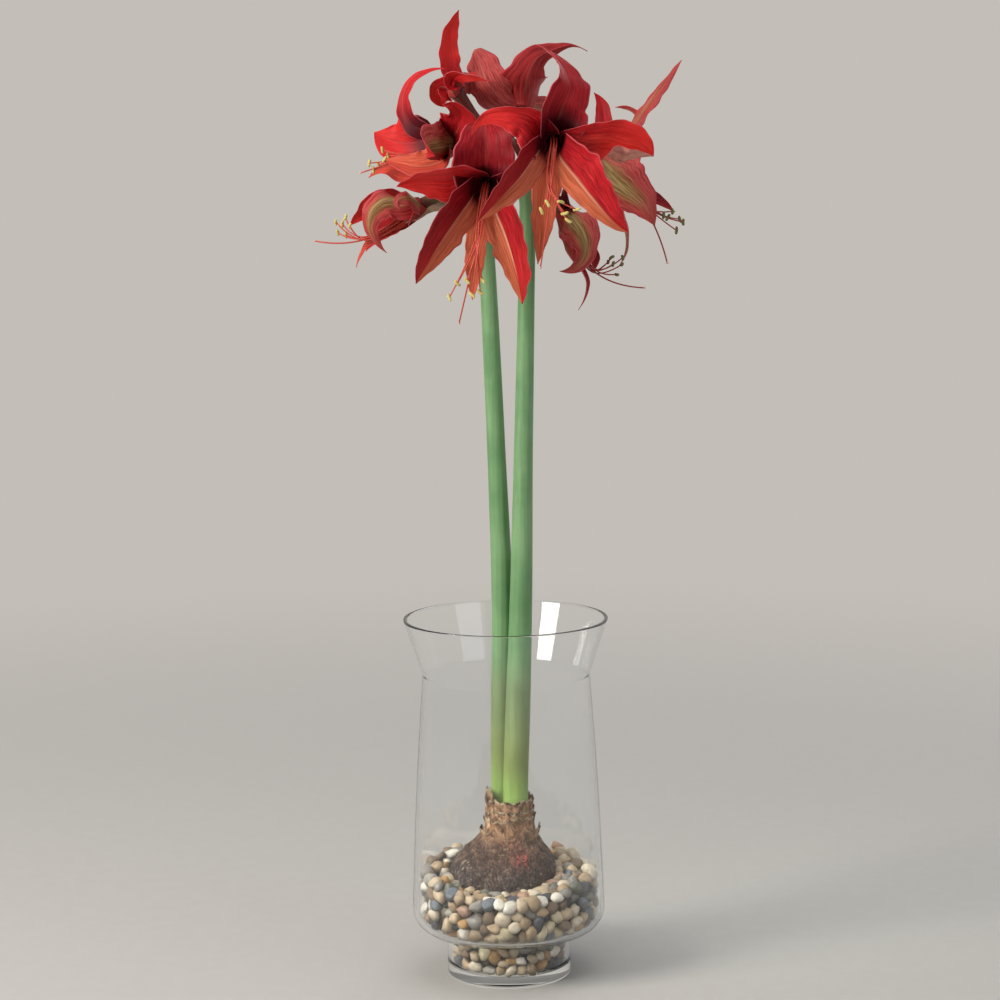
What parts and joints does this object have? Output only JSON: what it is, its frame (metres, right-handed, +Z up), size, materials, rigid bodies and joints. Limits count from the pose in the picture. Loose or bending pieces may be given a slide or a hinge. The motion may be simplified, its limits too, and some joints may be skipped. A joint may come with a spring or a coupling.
{
  "type": "amaryllis in vase",
  "caption": "Flowering amaryllis growing from its bulb in a footed clear glass vase of river pebbles, with tall bare stalks and a crown of narrow-petalled crimson flowers.",
  "frame": {"origin": "centre of the vase's foot, on the surface that the vase stands on", "axes": "+Z up along the vase's axis, -Y towards the front, +X to the right as seen from the front; metres"},
  "size_m": [0.319, 0.2063, 0.8455],
  "materials": {
    "clear_glass": "clear polished glass",
    "river_pebbles": "smooth tumbled stone in mixed colours",
    "bulb_skin": "matt, dry brown bulb skin",
    "dry_tunic": "papery, torn, matt",
    "stalk_green": "satin green plant skin with a grey bloom",
    "tepal_red": "velvety crimson petal",
    "stamen_red": "satin orange-red threads with cream tips"
  },
  "bodies": {
    "root": {"vase": "clear_glass", "pebble_bed": "river_pebbles", "bulb": "bulb_skin", "bulb_tunic": "dry_tunic", "scape_left": "stalk_green", "scape_right": "stalk_green", "front_right_tepal_1": "tepal_red", "front_right_tepal_2": "tepal_red", "front_right_tepal_3": "tepal_red", "front_right_tepal_4": "tepal_red", "front_right_tepal_5": "tepal_red", "front_right_tepal_6": "tepal_red", "front_right_stamens": "stamen_red", "front_left_tepal_1": "tepal_red", "front_left_tepal_2": "tepal_red", "front_left_tepal_3": "tepal_red", "front_left_tepal_4": "tepal_red", "front_left_tepal_5": "tepal_red", "front_left_tepal_6": "tepal_red", "front_left_stamens": "stamen_red", "left_tepal_1": "tepal_red", "left_tepal_2": "tepal_red", "left_tepal_3": "tepal_red", "left_tepal_4": "tepal_red", "left_tepal_5": "tepal_red", "left_tepal_6": "tepal_red", "left_stamens": "stamen_red", "left_low_tepal_1": "tepal_red", "left_low_tepal_2": "tepal_red", "left_low_tepal_3": "tepal_red", "left_low_tepal_4": "tepal_red", "left_low_tepal_5": "tepal_red", "left_low_tepal_6": "tepal_red", "left_low_stamens": "stamen_red", "back_tepal_1": "tepal_red", "back_tepal_2": "tepal_red", "back_tepal_3": "tepal_red", "back_tepal_4": "tepal_red", "back_tepal_5": "tepal_red", "back_tepal_6": "tepal_red", "back_left_tepal_1": "tepal_red", "back_left_tepal_2": "tepal_red", "back_left_tepal_3": "tepal_red", "back_left_tepal_4": "tepal_red", "back_left_tepal_5": "tepal_red", "back_left_tepal_6": "tepal_red", "right_tepal_1": "tepal_red", "right_tepal_2": "tepal_red", "right_tepal_3": "tepal_red", "right_tepal_4": "tepal_red", "right_tepal_5": "tepal_red", "right_tepal_6": "tepal_red", "right_stamens": "stamen_red", "right_low_tepal_1": "tepal_red", "right_low_tepal_2": "tepal_red", "right_low_tepal_3": "tepal_red", "right_low_tepal_4": "tepal_red", "right_low_tepal_5": "tepal_red", "right_low_tepal_6": "tepal_red", "right_low_stamens": "stamen_red"}
  },
  "joints": []
}
